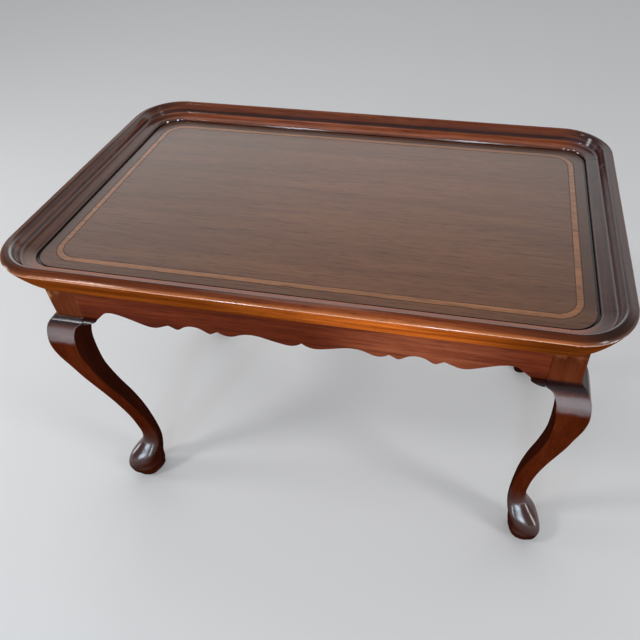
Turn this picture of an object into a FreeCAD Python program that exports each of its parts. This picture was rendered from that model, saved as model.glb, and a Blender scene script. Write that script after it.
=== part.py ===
import FreeCAD, Part
import math
import os
import Sketcher

# Tray-top side table with scalloped aprons and four cabriole legs.
# The origin is on the floor under the middle of the table: X runs along the length,
# the front faces -Y and Z is up. All lengths are in millimetres.

os.makedirs("parts", exist_ok=True)
doc = FreeCAD.newDocument("side_table")


# Named sizes
SIZES = [
    # Whole table
    ("table_length", 762.0, "outside length of the tray rim"),
    ("table_width", 472.0, "outside width of the tray rim"),
    ("table_height", 495.0, "floor to the top of the tray rim"),
    # Tray rim
    ("rim_corner_radius", 70.0, "outside corner radius of the rim, in plan"),
    ("rim_width", 40.0, "moulded width, outer edge to the panel"),
    ("rim_ledge_width", 20.5, "ledge under the edge of the panel"),
    ("rim_drop", 47.0, "top of the rim to its underside"),
    ("tray_depth", 21.0, "top of the rim to the panel"),
    ("rim_edge_drop", 5.4, "top of the rim to the widest line of the edge"),
    ("rim_nose_radius", 1.4, "rounding of the widest line"),
    ("rim_lip_inset", 13.9, "outer edge to the top of the step, before it is rounded"),
    ("rim_lip_reach", 2.7, "rounding of the lip, from that corner along both sides"),
    ("rim_step_inset", 19.8, "outer edge to the foot of the step"),
    ("rim_step_height", 6.0, "foot of the step above the panel"),
    ("rim_step_reach", 2.4, "hollow at the foot of the step, along both sides"),
    ("rim_shelf_inset", 36.2, "outer edge to the inner edge of the shelf"),
    ("rim_shelf_height", 3.5, "inner edge of the shelf above the panel"),
    ("rim_shelf_reach", 1.8, "rounding of the shelf's inner edge, along both sides"),
    ("rim_groove_width", 2.4, "sunk line beside the panel"),
    ("rim_groove_depth", 2.0, "sunk line below the top of the panel"),
    ("rim_under_inset", 24.5, "outer edge to the foot of the under-slope"),
    ("rim_under_bulge", 1.5, "bow of the under-slope outside its chord"),
    # Tray panel and inlay
    ("panel_thickness", 12.0, "panel of the tray"),
    ("panel_gap", 0.3, "joint line between the panel and the rim"),
    ("inlay_inset", 53.0, "outer edge of the rim to the outer edge of the inlay"),
    ("inlay_corner_radius", 33.0, "outer corner radius of the inlay"),
    ("inlay_depth", 1.2, "thickness of band and lines"),
    ("inlay_band_width", 7.4, "light band"),
    ("inlay_line_width", 0.8, "each dark line beside the band"),
    ("inlay_gap", 0.15, "glue line between the inlaid strips"),
    # Aprons
    ("apron_inset", 41.5, "outer edge of the rim to the face of the aprons"),
    ("apron_thickness", 19.0, "all four aprons"),
    ("post_height", 62.0, "posts, and the aprons where they meet them"),
    ("arch_rise", 15.5, "height of the end arches of the aprons"),
    ("scallop_margin", 18.4, "plain end of the aprons beside each post"),
    ("tenon_thickness", 8.0, "tenons of the aprons"),
    ("tenon_length", 14.0, "tenons into the posts"),
    ("tenon_shoulder", 8.0, "tenon below the top and above the foot of the post"),
    ("tenon_clearance", 0.15, "gap round each tenon"),
    # Legs
    ("post_size", 39.5, "square post at the top of each leg"),
    ("post_edge_radius", 0.6, "eased corners of the post"),
    ("pad_height", 2.7, "thin pad under the foot"),
    ("pad_step", 1.3, "pad stands out from the foot by this"),
    # Knee blocks
    ("wing_gap", 0.9, "seam between the knee and the knee block"),
    ("wing_length", 17.6, "knee block along the apron"),
    ("wing_height", 4.2, "knee block at the leg"),
    ("wing_tip_height", 0.9, "knee block at its tip"),
    ("wing_depth", 28.0, "knee block behind the face of the apron"),
    ("wing_bulge", 8.6, "knee block in front of the face of the apron"),
    # Corner blocks, cleats and screws
    ("block_reach", 80.0, "corner block along each apron, from the corner of the post"),
    ("block_end", 7.0, "thickness of the block at its ends"),
    ("block_height", 44.0, "corner block"),
    ("block_drop", 2.0, "top of the block below the top of the aprons"),
    ("block_screw_offset", 63.0, "screw from the corner of the post"),
    ("block_seat_depth", 15.0, "head seat in front of the inside of the apron"),
    ("cleat_width", 18.0, "cleats under the panel"),
    ("cleat_height", 22.0, "cleats under the panel"),
    ("cleat_end_gap", 4.5, "ends of the cleats to the corner blocks"),
    ("cleat_screw_inset", 25.0, "end of a cleat to its first screw"),
    ("screw_radius", 2.0, "shank of the screws"),
    ("screw_head_radius", 4.0, "head of the screws"),
    ("screw_head_height", 2.4, "head of the screws"),
    ("screw_clearance", 0.3, "gap round the shank and the head"),
    ("screw_bite", 9.0, "screw in the piece it holds"),
    ("seat_depth", 3.0, "sunk seat of the heads in the cleats"),
    ("cut_overrun", 2.0, "cutting shapes run past the faces they open by this"),
]

sheet = doc.addObject("Spreadsheet::Sheet", "Sizes")
for row, (name, value, note) in enumerate(SIZES, start=1):
    sheet.set(f"A{row}", name)
    sheet.set(f"B{row}", str(value))
    sheet.set(f"C{row}", note)
    sheet.setAlias(f"B{row}", name)
doc.recompute()


class Size:
    """A length that knows its value and the sheet formula it comes from."""

    def __init__(self, value, formula):
        self.value = value
        self.formula = formula

    def __add__(self, other):
        return Size(self.value + other.value, f"({self.formula} + {other.formula})")

    def __sub__(self, other):
        return Size(self.value - other.value, f"({self.formula} - {other.formula})")

    def __mul__(self, share):
        return Size(self.value * share, f"({self.formula} * {share})")

    def __neg__(self):
        return self * -1


def size(name):
    return Size(float(getattr(sheet, name)), f"Sizes.{name}")


ZERO = Size(0.0, "0")
length = size("table_length")
width = size("table_width")
height = size("table_height")
corner = size("rim_corner_radius")
rim_width = size("rim_width")
panel_top = height - size("tray_depth")
panel_under = panel_top - size("panel_thickness")
frame_top = height - size("rim_drop")
ledge_end = rim_width + size("rim_ledge_width")
apron_inset = size("apron_inset")
apron_thickness = size("apron_thickness")
post = size("post_size")
knee = frame_top - size("post_height")
post_x = length * 0.5 - apron_inset
post_y = width * 0.5 - apron_inset
overrun = size("cut_overrun")
screw_radius = size("screw_radius")
head_radius = size("screw_head_radius")
head_height = size("screw_head_height")
screw_gap = size("screw_clearance")
bite = size("screw_bite")


# Shared helpers
def place(item, base=(ZERO, ZERO, ZERO), turn=0):
    """Turn a sub-part about Z by a number of degrees and move it, bound to the sheet."""
    item.Placement = FreeCAD.Placement(
        FreeCAD.Vector(*(part.value for part in base)),
        FreeCAD.Rotation(FreeCAD.Vector(0, 0, 1), turn),
    )
    for axis, part in zip("xyz", base):
        if part is not ZERO:
            item.setExpression(f"Placement.Base.{axis}", part.formula)


def new_body(label):
    item = doc.addObject("PartDesign::Body", label)
    item.Label = label
    return item


def new_sketch(body, name, plane, offset=ZERO):
    """A sketch on an origin plane of its body, moved along the plane's normal."""
    sketch = body.newObject("Sketcher::SketchObject", f"{body.Name}_{name}")
    origin_plane = [item for item in body.Origin.OriginFeatures if item.Role == plane][0]
    sketch.AttachmentSupport = (origin_plane, [""])
    sketch.MapMode = "FlatFace"
    sketch.AttachmentOffset = FreeCAD.Placement(
        FreeCAD.Vector(0, 0, offset.value), FreeCAD.Rotation()
    )
    if offset is not ZERO:
        sketch.setExpression("AttachmentOffset.Base.z", offset.formula)
    return sketch


def bind(sketch, kind, geometry, vertex, coordinate):
    """Hold one coordinate of a sketch point at a size of the sheet."""
    index = sketch.addConstraint(
        Sketcher.Constraint(kind, -1, 1, geometry, vertex, coordinate.value)
    )
    sketch.setExpression(f"Constraints[{index}]", coordinate.formula)


def polygon(sketch, points):
    """A closed outline of straight lines whose corners are bound to the sheet."""
    first = sketch.GeometryCount
    count = len(points)
    for start, end in zip(points, points[1:] + points[:1]):
        sketch.addGeometry(
            Part.LineSegment(
                FreeCAD.Vector(start[0].value, start[1].value, 0),
                FreeCAD.Vector(end[0].value, end[1].value, 0),
            )
        )
    for index in range(count):
        following = first + (index + 1) % count
        sketch.addConstraint(Sketcher.Constraint("Coincident", first + index, 2, following, 1))
    for index, point in enumerate(points):
        bind(sketch, "DistanceX", first + index, 1, point[0])
        bind(sketch, "DistanceY", first + index, 1, point[1])


def rectangle(sketch, left, right, low, high):
    polygon(sketch, [(left, low), (right, low), (right, high), (left, high)])


def circle(sketch, across, up, radius):
    """A circle bound to the sheet."""
    index = sketch.addGeometry(
        Part.Circle(
            FreeCAD.Vector(across.value, up.value, 0), FreeCAD.Vector(0, 0, 1), radius.value
        )
    )
    bind(sketch, "DistanceX", index, 3, across)
    bind(sketch, "DistanceY", index, 3, up)
    ring = sketch.addConstraint(Sketcher.Constraint("Radius", index, radius.value))
    sketch.setExpression(f"Constraints[{ring}]", radius.formula)


def rounded_rectangle(sketch, half_x, half_y, radius):
    """A rounded rectangle about the origin: straight sides, quarter-circle corners."""
    first = sketch.GeometryCount
    flat_x = half_x - radius
    flat_y = half_y - radius
    quarter = math.pi / 2
    for step, (side_x, side_y) in enumerate(((1, 1), (-1, 1), (-1, -1), (1, -1))):
        centre = FreeCAD.Vector(side_x * flat_x.value, side_y * flat_y.value, 0)
        round_corner = Part.Circle(centre, FreeCAD.Vector(0, 0, 1), radius.value)
        arc = Part.ArcOfCircle(round_corner, step * quarter, (step + 1) * quarter)
        index = sketch.addGeometry(arc)
        bind(sketch, "DistanceX", index, 3, flat_x * side_x)
        bind(sketch, "DistanceY", index, 3, flat_y * side_y)
        ring = sketch.addConstraint(Sketcher.Constraint("Radius", index, radius.value))
        sketch.setExpression(f"Constraints[{ring}]", radius.formula)
    for step in range(4):
        start = sketch.getPoint(first + step, 2)
        end = sketch.getPoint(first + (step + 1) % 4, 1)
        index = sketch.addGeometry(Part.LineSegment(start, end))
        sketch.addConstraint(Sketcher.Constraint("Tangent", first + step, 2, index, 1))
        sketch.addConstraint(
            Sketcher.Constraint("Tangent", index, 2, first + (step + 1) % 4, 1)
        )


def pad(body, sketch, depth, reverse=False, midplane=False):
    feature = body.newObject("PartDesign::Pad", f"{sketch.Name}_pad")
    feature.Profile = sketch
    feature.Length = depth.value
    feature.setExpression("Length", depth.formula)
    feature.Reversed = reverse
    feature.Midplane = midplane
    sketch.Visibility = False
    doc.recompute()
    return feature


def pocket(body, sketch, depth):
    """A pocket that cuts on whichever side of its sketch the material is."""
    before = body.Shape.Volume
    feature = body.newObject("PartDesign::Pocket", f"{sketch.Name}_pocket")
    feature.Profile = sketch
    feature.Length = depth.value
    feature.setExpression("Length", depth.formula)
    sketch.Visibility = False
    doc.recompute()
    if not body.Shape.isValid() or body.Shape.Volume > before * 0.999999:
        feature.Reversed = True
        doc.recompute()
    if body.Shape.Volume > before * 0.999999:
        raise ValueError(f"{feature.Name} removes nothing")
    return feature


def vector(point):
    return FreeCAD.Vector(point[0], point[1], 0)


def arc_through(start, middle, end):
    return Part.Arc(vector(start), vector(middle), vector(end))


def bowed(start, end, bow):
    """An arc between two points that stands off its chord to the left by the bow."""
    along = (end[0] - start[0], end[1] - start[1])
    chord = math.hypot(*along)
    middle = (
        (start[0] + end[0]) / 2 - along[1] / chord * bow,
        (start[1] + end[1]) / 2 + along[0] / chord * bow,
    )
    return arc_through(start, middle, end)


def eased(before, corner, after, reach):
    """An arc that rounds a corner, from a reach before it to a reach after it."""

    def toward(other):
        across, up = other[0] - corner[0], other[1] - corner[1]
        share = reach / math.hypot(across, up)
        return (corner[0] + across * share, corner[1] + up * share)

    start, end = toward(before), toward(after)
    chord_middle = ((start[0] + end[0]) / 2, (start[1] + end[1]) / 2)
    half = math.dist(start, chord_middle)
    depth = math.dist(corner, chord_middle)
    share = half * (reach - half) / depth ** 2
    middle = (
        chord_middle[0] + (corner[0] - chord_middle[0]) * share,
        chord_middle[1] + (corner[1] - chord_middle[1]) * share,
    )
    return start, middle, end


def smooth(points):
    curve = Part.BSplineCurve()
    curve.interpolate([vector(point) for point in points])
    return curve


# Moulded section of the tray rim
def rim_section(flip=1, shift=0.0):
    """Curves of the rim section, across from the outer edge and up from the floor."""
    top = height.value
    nose = size("rim_nose_radius").value
    edge = top - size("rim_edge_drop").value
    step = size("rim_step_inset").value
    inner = rim_width.value
    groove_side = inner - size("rim_groove_width").value
    level = panel_top.value
    groove_floor = level - size("rim_groove_depth").value
    low = frame_top.value
    ledge = panel_under.value
    back = ledge_end.value

    def at(across, up):
        return (shift + flip * across, up)

    foot = at(size("rim_under_inset").value, low)
    nose_low = at(nose * 0.3, edge - nose)
    nose_mid = at(0.0, edge)
    nose_high = at(nose * 0.6, edge + nose)
    lip = at(size("rim_lip_inset").value, top)
    step_foot = at(step, level + size("rim_step_height").value)
    shelf_edge = at(size("rim_shelf_inset").value, level + size("rim_shelf_height").value)
    groove = at(groove_side, groove_floor)
    lip_arc = eased(at(nose, top), lip, step_foot, size("rim_lip_reach").value)
    step_arc = eased(lip, step_foot, shelf_edge, size("rim_step_reach").value)
    shelf_arc = eased(step_foot, shelf_edge, groove, size("rim_shelf_reach").value)
    crown = (lip_arc[0][1] - nose_high[1]) * 0.2
    straight = [
        groove, at(inner, groove_floor), at(inner, ledge), at(back, ledge), at(back, low), foot,
    ]
    curves = [
        bowed(foot, nose_low, size("rim_under_bulge").value * flip),
        arc_through(nose_low, nose_mid, nose_high),
        bowed(nose_high, lip_arc[0], crown * flip),
        arc_through(*lip_arc),
        Part.LineSegment(vector(lip_arc[2]), vector(step_arc[0])),
        arc_through(*step_arc),
        Part.LineSegment(vector(step_arc[2]), vector(shelf_arc[0])),
        arc_through(*shelf_arc),
        Part.LineSegment(vector(shelf_arc[2]), vector(groove)),
    ]
    for start, end in zip(straight, straight[1:]):
        curves.append(Part.LineSegment(vector(start), vector(end)))
    return curves


def rim_run(label, run, base, turn):
    """A straight run of the rim, with its outer edge on its own X axis."""
    body = new_body(label)
    sketch = new_sketch(body, "section", "YZ_Plane")
    for curve in rim_section():
        sketch.addGeometry(curve)
    pad(body, sketch, run, midplane=True)
    place(body, base, turn)
    return body


def rim_corner(label, base, turn):
    """A quarter-round corner of the rim about its own Z axis."""
    body = new_body(label)
    sketch = new_sketch(body, "section", "XZ_Plane")
    for curve in rim_section(flip=-1, shift=corner.value):
        sketch.addGeometry(curve)
    turned = body.newObject("PartDesign::Revolution", f"{label}_turned")
    turned.Profile = sketch
    turned.ReferenceAxis = (sketch, ["V_Axis"])
    turned.Angle = 90
    sketch.Visibility = False
    doc.recompute()
    if body.Shape.BoundBox.YMax < corner.value / 2:
        turned.Reversed = True
        doc.recompute()
    place(body, base, turn)
    return body


half_x = length * 0.5
half_y = width * 0.5
run_x = length - corner * 2
run_y = width - corner * 2
rims = [
    rim_run("rim_front", run_x, (ZERO, -half_y, ZERO), 0),
    rim_run("rim_back", run_x, (ZERO, half_y, ZERO), 180),
    rim_run("rim_left", run_y, (-half_x, ZERO, ZERO), 270),
    rim_run("rim_right", run_y, (half_x, ZERO, ZERO), 90),
    rim_corner("rim_corner_back_right", (half_x - corner, half_y - corner, ZERO), 0),
    rim_corner("rim_corner_back_left", (corner - half_x, half_y - corner, ZERO), 90),
    rim_corner("rim_corner_front_left", (corner - half_x, corner - half_y, ZERO), 180),
    rim_corner("rim_corner_front_right", (half_x - corner, corner - half_y, ZERO), 270),
]


# Tray panel with the groove for the inlay
inlay_x = half_x - size("inlay_inset")
inlay_y = half_y - size("inlay_inset")
inlay_radius = size("inlay_corner_radius")
inlay_depth = size("inlay_depth")
strip_gap = size("inlay_gap")
line_width = size("inlay_line_width")
band_width = size("inlay_band_width")
groove_width = band_width + line_width * 2 + strip_gap * 4
inlay_floor = panel_top - inlay_depth
cleat_width = size("cleat_width")
cleat_y = half_y - ledge_end
cleat_x = half_x - ledge_end
cleat_centre_y = cleat_y - cleat_width * 0.5
cleat_centre_x = cleat_x - cleat_width * 0.5
cleat_end = size("block_reach") + size("cleat_end_gap")
long_cleat = (post_x - cleat_end) * 2
short_cleat = (post_y - cleat_end) * 2
screw_inset = size("cleat_screw_inset")
long_spots = [(long_cleat * 0.5 - screw_inset) * step for step in (-1, 0, 1)]
short_spots = [(short_cleat * 0.5 - screw_inset) * step for step in (-1, 1)]
cleat_screw_spots = []
for side in (-1, 1):
    cleat_screw_spots += [(spot, cleat_centre_y * side) for spot in long_spots]
    cleat_screw_spots += [(cleat_centre_x * side, spot) for spot in short_spots]


def ring(body, name, level, outer_inset, ring_width):
    """A rounded-rectangle ring, measured inward from the outer edge of the inlay."""
    sketch = new_sketch(body, name, "XY_Plane", level)
    rounded_rectangle(
        sketch, inlay_x - outer_inset, inlay_y - outer_inset, inlay_radius - outer_inset
    )
    inset = outer_inset + ring_width
    rounded_rectangle(sketch, inlay_x - inset, inlay_y - inset, inlay_radius - inset)
    return sketch


panel = new_body("tray_panel")
panel_edge = rim_width + size("panel_gap")
plate = new_sketch(panel, "outline", "XY_Plane", panel_under)
rounded_rectangle(plate, half_x - panel_edge, half_y - panel_edge, corner - panel_edge)
pad(panel, plate, size("panel_thickness"))
groove = ring(panel, "inlay_groove", panel_top, ZERO, groove_width)
pocket(panel, groove, inlay_depth)
pilots = new_sketch(panel, "pilot_holes", "XY_Plane", panel_under)
for spot_x, spot_y in cleat_screw_spots:
    circle(pilots, spot_x, spot_y, screw_radius + screw_gap)
pocket(panel, pilots, bite + screw_gap)
place(panel)

band = new_body("inlay_band")
band_sketch = ring(band, "band", inlay_floor, line_width + strip_gap * 2, band_width)
pad(band, band_sketch, inlay_depth)
place(band)

outer_line = new_body("stringing_outer")
pad(outer_line, ring(outer_line, "line", inlay_floor, strip_gap, line_width), inlay_depth)
place(outer_line)

inner_line = new_body("stringing_inner")
inner_inset = line_width + band_width + strip_gap * 3
pad(inner_line, ring(inner_line, "line", inlay_floor, inner_inset, line_width), inlay_depth)
place(inner_line)


# Scalloped lower edge of the aprons.
# Each arch is given from its end nearer the post: shares of its own length, then
# shares of the rise of the end arch, above the foot of the post. The arches share out
# half the apron's length less its plain end. A short apron has one middle arch.
END_ARCH_SHARES = [
    (0.0, 0.0), (0.054, 0.29), (0.112, 0.67), (0.171, 0.935), (0.249, 1.0), (0.356, 0.87),
    (0.483, 0.57), (0.61, 0.23), (0.727, -0.03), (0.815, -0.05), (0.912, 0.17), (1.0, 0.41),
]
MIDDLE_ARCH_SHARES = [
    (0.0, 0.41), (0.095, 0.2), (0.168, 0.065), (0.248, 0.21), (0.328, 0.465), (0.423, 0.62),
    (0.5, 0.66), (0.577, 0.62), (0.672, 0.465), (0.752, 0.21), (0.832, 0.065), (0.905, 0.2),
    (1.0, 0.41),
]
CENTRE_ARCH_SHARES = [
    (0.0, 0.41), (0.059, 0.16), (0.113, 0.07), (0.176, 0.13), (0.24, 0.32), (0.312, 0.51),
    (0.394, 0.585), (0.502, 0.52), (0.62, 0.29), (0.747, 0.06), (0.873, -0.04),
    (0.946, 0.12), (1.0, 0.41),
]
LONG_APRON_SHARES = {"end": 0.364, "middle": 0.243, "centre": 0.393}
SHORT_APRON_SHARES = {"end": 0.75, "middle": 0.5}
rise = size("arch_rise")
margin = size("scallop_margin")


def arch(shares, start, run):
    """One arch from a distance off the middle of the apron toward its centre."""
    return [(start - share * run, knee.value + up * rise.value) for share, up in shares]


def mirrored(points):
    return [(-across, up) for across, up in reversed(points)]


def scallop(half_run, long_apron):
    """Arches of one apron from its right end to its left end."""
    if long_apron:
        end, middle, centre = (half_run * share for share in LONG_APRON_SHARES.values())
        half = [
            arch(END_ARCH_SHARES, half_run, end),
            arch(MIDDLE_ARCH_SHARES, half_run - end, middle),
            arch(CENTRE_ARCH_SHARES, centre, centre),
        ]
        return half + [mirrored(points) for points in reversed(half)]
    end, middle = (half_run * share for share in SHORT_APRON_SHARES.values())
    outer = arch(END_ARCH_SHARES, half_run, end)
    return [outer, arch(MIDDLE_ARCH_SHARES, middle / 2, middle), mirrored(outer)]


tenon_thickness = size("tenon_thickness")
tenon_length = size("tenon_length")
tenon_shoulder = size("tenon_shoulder")
tenon_start = (apron_thickness - tenon_thickness) * 0.5
block_reach = size("block_reach")
block_screw = size("block_screw_offset")
block_top = frame_top - size("block_drop")
block_low = block_top - size("block_height")
high_screw_z = block_low + size("block_height") * 0.7
low_screw_z = block_low + size("block_height") * 0.3


def apron(label, span, long_apron, base, turn):
    """An apron between two posts, its face on its own X axis, thickness toward +Y."""
    body = new_body(label)
    face = new_sketch(body, "outline", "XZ_Plane")
    half = span.value / 2
    arches = scallop(half - margin.value, long_apron)
    for points in arches:
        face.addGeometry(smooth(points))
    right_foot = arches[0][0]
    left_foot = arches[-1][-1]
    top = frame_top.value
    straight = [
        left_foot, (-half, knee.value), (-half, top), (half, top), (half, knee.value), right_foot,
    ]
    for start, end in zip(straight, straight[1:]):
        face.addGeometry(Part.LineSegment(vector(start), vector(end)))
    pad(body, face, apron_thickness, reverse=True)
    tenons = new_sketch(body, "tenons", "XZ_Plane", -tenon_start)
    reach = span * 0.5 + tenon_length
    rectangle(tenons, -reach, reach, knee + tenon_shoulder + rise, frame_top - tenon_shoulder)
    pad(body, tenons, tenon_thickness, reverse=True)
    holes = new_sketch(body, "pilot_holes", "XZ_Plane", -apron_thickness)
    across = span * 0.5 + post - block_screw
    for side, level in ((-1, high_screw_z), (1, low_screw_z)):
        circle(holes, across * side, level, screw_radius + screw_gap)
    pocket(body, holes, bite + screw_gap)
    place(body, base, turn)
    return body


span_x = (post_x - post) * 2
span_y = (post_y - post) * 2
apron("apron_front", span_x, True, (ZERO, -post_y, ZERO), 0)
apron("apron_back", span_x, True, (ZERO, post_y, ZERO), 180)
apron("apron_left", span_y, False, (-post_x, ZERO, ZERO), 270)
apron("apron_right", span_y, False, (post_x, ZERO, ZERO), 90)


# Cabriole legs.
# Each leg stands with the outer corner of its post at its own origin and is the same
# on both sides of its diagonal. Heights are shares of the way from the pad of the foot
# up to the foot of the post, and all other sizes are shares of the post size.
# Knee and shank, square with rounded corners: height, front face, back face, rounding.
SHANK_SHARES = [
    (1.0, -0.038, 1.006, 0.025), (0.996, -0.127, 1.006, 0.025), (0.99, -0.213, 1.006, 0.025),
    (0.983, -0.258, 0.873, 0.025), (0.973, -0.309, 0.765, 0.025), (0.961, -0.349, 0.709, 0.025),
    (0.948, -0.382, 0.666, 0.025), (0.927, -0.418, 0.62, 0.025), (0.907, -0.441, 0.597, 0.025),
    (0.876, -0.448, 0.542, 0.025), (0.838, -0.415, 0.509, 0.025), (0.797, -0.352, 0.499, 0.03),
    (0.749, -0.261, 0.504, 0.038), (0.703, -0.182, 0.529, 0.046), (0.651, -0.081, 0.597, 0.056),
    (0.593, 0.041, 0.689, 0.068), (0.528, 0.175, 0.815, 0.089), (0.462, 0.299, 0.927, 0.109),
    (0.398, 0.403, 1.018, 0.132), (0.332, 0.486, 1.084, 0.152), (0.267, 0.537, 1.134, 0.172),
    (0.223, 0.542, 1.159, 0.177),
]
# Foot, the outline round four circles: height, then the place on the diagonal and the
# radius of the toe, the far and near place and the radius of both sides, and the place
# and the radius of the heel.
FOOT_SHARES = [
    (0.181, 0.623, 0.185, 0.969, 0.678, 0.2, 0.98, 0.189),
    (0.165, 0.523, 0.195, 0.94, 0.613, 0.228, 0.978, 0.19),
    (0.151, 0.396, 0.205, 0.893, 0.529, 0.262, 0.974, 0.19),
    (0.136, 0.27, 0.222, 0.82, 0.421, 0.3, 0.966, 0.19),
    (0.121, 0.175, 0.235, 0.747, 0.347, 0.32, 0.957, 0.19),
    (0.102, 0.096, 0.246, 0.658, 0.287, 0.341, 0.94, 0.184),
    (0.082, 0.048, 0.253, 0.58, 0.245, 0.354, 0.919, 0.177),
    (0.058, 0.035, 0.253, 0.519, 0.215, 0.354, 0.894, 0.177),
    (0.032, 0.073, 0.253, 0.519, 0.241, 0.354, 0.881, 0.177),
    (0.009, 0.149, 0.228, 0.519, 0.291, 0.329, 0.833, 0.165),
    (0.0, 0.228, 0.215, 0.519, 0.342, 0.304, 0.785, 0.165),
]


def leg_outline(level, shares, grow=0.0):
    """Closed outline at one level: four corner arcs joined by straight lines."""
    toe, toe_radius, far, near, side_radius, heel, heel_radius = (
        share * post.value for share in shares
    )
    corners = [
        (toe, toe, toe_radius + grow),
        (far, near, side_radius + grow),
        (heel, heel, heel_radius + grow),
        (near, far, side_radius + grow),
    ]
    directions = []
    for start, end in zip(corners, corners[1:] + corners[:1]):
        across = end[0] - start[0]
        up = end[1] - start[1]
        lean = math.asin((start[2] - end[2]) / math.hypot(across, up))
        directions.append(math.atan2(up, across) - math.pi / 2 + lean)

    def on_corner(place_and_radius, angle):
        across, up, radius = place_and_radius
        return FreeCAD.Vector(
            across + radius * math.cos(angle), up + radius * math.sin(angle), level
        )

    edges = []
    for index, round_corner in enumerate(corners):
        first = directions[index - 1]
        last = directions[index]
        while last < first:
            last += 2 * math.pi
        begin, middle, finish = (
            on_corner(round_corner, angle) for angle in (first, (first + last) / 2, last)
        )
        edges.append(Part.Arc(begin, middle, finish).toShape())
        following = on_corner(corners[(index + 1) % 4], last)
        edges.append(Part.LineSegment(finish, following).toShape())
    return Part.Wire(edges)


def square_shares(front, back, radius):
    """The shares of a square section in the form that the foot sections use."""
    near = front + radius
    far = back - radius
    return near, radius, far, near, radius, far, radius


def walls(outlines, ruled):
    """The faces of a loft through outlines, without its ends."""
    return Part.makeLoft(outlines, False, ruled).Faces


def ring_face(outer, inner):
    return Part.makeFace([outer, inner], "Part::FaceMakerBullseye")


def leg_shape():
    """Post, knee, shank, foot and pad of one leg, with the mortises for two aprons."""
    levels = [(row[0], square_shares(*row[1:])) for row in SHANK_SHARES]
    levels += [(row[0], row[1:]) for row in FOOT_SHARES]
    pad_top = size("pad_height").value
    drop = knee.value - pad_top
    outlines = [leg_outline(pad_top + share * drop, row) for share, row in reversed(levels)]
    foot = FOOT_SHARES[-1][1:]
    step = size("pad_step").value
    pad_low, pad_high = (leg_outline(level, foot, grow=step) for level in (0.0, pad_top))
    side = post.value
    square = square_shares(0.0, 1.0, size("post_edge_radius").value / side)
    post_low, post_high = (leg_outline(level, square) for level in (knee.value, frame_top.value))
    faces = [Part.Face(pad_low), ring_face(pad_high, outlines[0])]
    faces += walls([pad_low, pad_high], True) + walls(outlines, False)
    faces += [ring_face(outlines[-1], post_low), Part.Face(post_high)]
    faces += walls([post_low, post_high], True)
    skin = Part.makeCompound(faces)
    skin.sewShape()
    leg = Part.Solid(skin.Shells[0])
    if leg.Volume < 0:
        leg.reverse()
    gap = size("tenon_clearance").value
    deep = tenon_length.value + gap
    start = tenon_start.value - gap
    thick = tenon_thickness.value + gap * 2
    low = (knee + tenon_shoulder + rise).value - gap
    tall = (frame_top - knee - tenon_shoulder * 2 - rise).value + gap * 2
    past = overrun.value
    mortise_x = Part.makeBox(deep + past, thick, tall, FreeCAD.Vector(side - deep, start, low))
    mortise_y = Part.makeBox(thick, deep + past, tall, FreeCAD.Vector(start, side - deep, low))
    return leg.cut([mortise_x, mortise_y])


CORNERS = [
    ("front_left", (-post_x, -post_y, ZERO), 0),
    ("front_right", (post_x, -post_y, ZERO), 90),
    ("back_right", (post_x, post_y, ZERO), 180),
    ("back_left", (-post_x, post_y, ZERO), 270),
]
leg_solid = leg_shape()
for name, base, turn in CORNERS:
    leg = doc.addObject("Part::Feature", f"leg_{name}")
    leg.Label = f"leg_{name}"
    leg.Shape = leg_solid
    place(leg, base, turn)


# Knee blocks: the front follows the knee, the underside thins to a tip
wing_length = size("wing_length")
wing_height = size("wing_height")
wing_depth = size("wing_depth")
wing_bulge = size("wing_bulge")
wing_tip = size("wing_tip_height")
WING_FRONT_SHARES = [(0.17, 0.0), (0.55, 0.27), (0.82, 0.62), (1.0, 1.0)]


def knee_block(label, side, base, turn):
    """A knee block with its seam at its own origin, running along X on one side."""
    body = new_body(label)
    face = new_sketch(body, "front", "YZ_Plane")
    front = [
        (-share * wing_bulge.value, knee.value - down * wing_height.value)
        for share, down in WING_FRONT_SHARES
    ]
    face.addGeometry(smooth(front))
    low = knee.value - wing_height.value
    straight = [front[-1], (wing_depth.value, low), (wing_depth.value, knee.value), front[0]]
    for start, end in zip(straight, straight[1:]):
        face.addGeometry(Part.LineSegment(vector(start), vector(end)))
    pad(body, face, wing_length, reverse=side < 0)
    under = new_sketch(body, "underside", "XZ_Plane", -wing_depth - overrun)
    tip = (wing_length.value * side, knee.value - wing_tip.value)
    root = (0.0, low)
    outside = (wing_length.value * side, low)
    under.addGeometry(bowed(root, tip, -wing_tip.value * side * 0.8))
    under.addGeometry(Part.LineSegment(vector(tip), vector(outside)))
    under.addGeometry(Part.LineSegment(vector(outside), vector(root)))
    pocket(body, under, wing_depth + wing_bulge + overrun * 2)
    place(body, base, turn)
    return body


inner_x = post_x - post - size("wing_gap")
inner_y = post_y - post - size("wing_gap")
knee_block("knee_block_front_left_x", 1, (-inner_x, -post_y, ZERO), 0)
knee_block("knee_block_front_right_x", -1, (inner_x, -post_y, ZERO), 0)
knee_block("knee_block_back_right_x", 1, (inner_x, post_y, ZERO), 180)
knee_block("knee_block_back_left_x", -1, (-inner_x, post_y, ZERO), 180)
knee_block("knee_block_front_right_y", 1, (post_x, -inner_y, ZERO), 90)
knee_block("knee_block_back_right_y", -1, (post_x, inner_y, ZERO), 90)
knee_block("knee_block_back_left_y", 1, (-post_x, inner_y, ZERO), 270)
knee_block("knee_block_front_left_y", -1, (-post_x, -inner_y, ZERO), 270)


# Corner blocks, notched round the posts
block_end = size("block_end")
seat_depth = size("block_seat_depth")


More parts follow.
